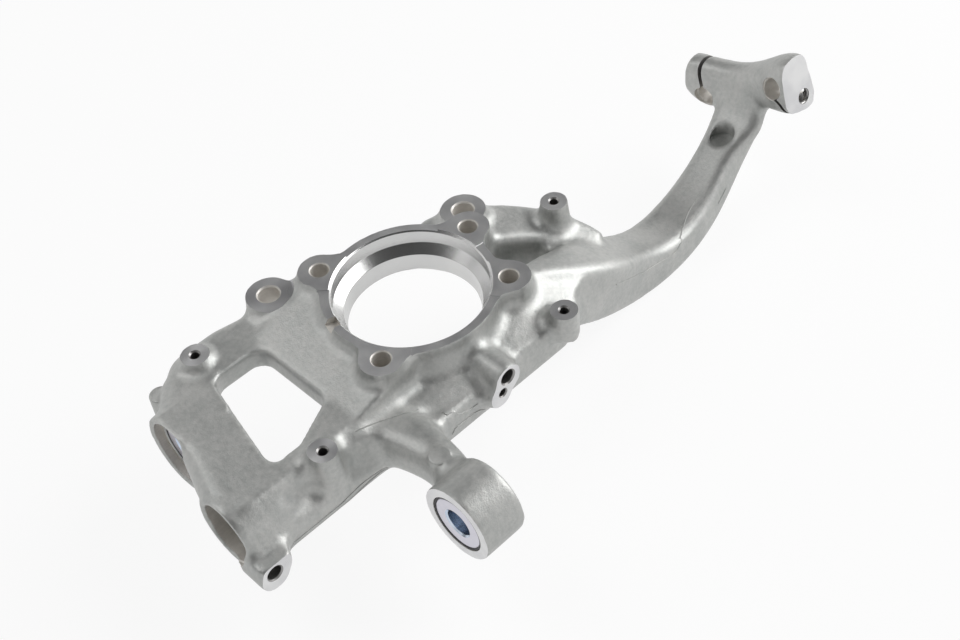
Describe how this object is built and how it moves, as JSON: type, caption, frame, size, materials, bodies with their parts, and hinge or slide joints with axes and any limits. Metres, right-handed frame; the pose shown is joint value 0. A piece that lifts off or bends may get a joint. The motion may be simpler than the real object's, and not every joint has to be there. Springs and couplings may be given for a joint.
{
  "type": "steering knuckle",
  "caption": "Cast aluminium front steering knuckle: bolt-on hub flange, lower link bores, steering arm eye and a long swan neck with a split upper head.",
  "frame": {"origin": "centre of the hub bearing's bore on the flange face", "axes": "+Z outboard along the hub axis, +X up the upright from the lower joints to the split head, -Y towards the steering arm"},
  "size_m": [0.4691, 0.2246, 0.1155],
  "materials": {
    "cast_aluminium": "satin as-cast skin with milled faces",
    "plated_steel": "blue zinc plated",
    "seal_rubber": "matt black"
  },
  "bodies": {
    "root": {"knuckle_casting": "cast_aluminium", "steering_arm_sleeve": "plated_steel", "lower_joint_sleeve": "plated_steel", "steering_arm_seal_ring": "seal_rubber", "lower_joint_seal_ring": "seal_rubber"}
  },
  "joints": []
}
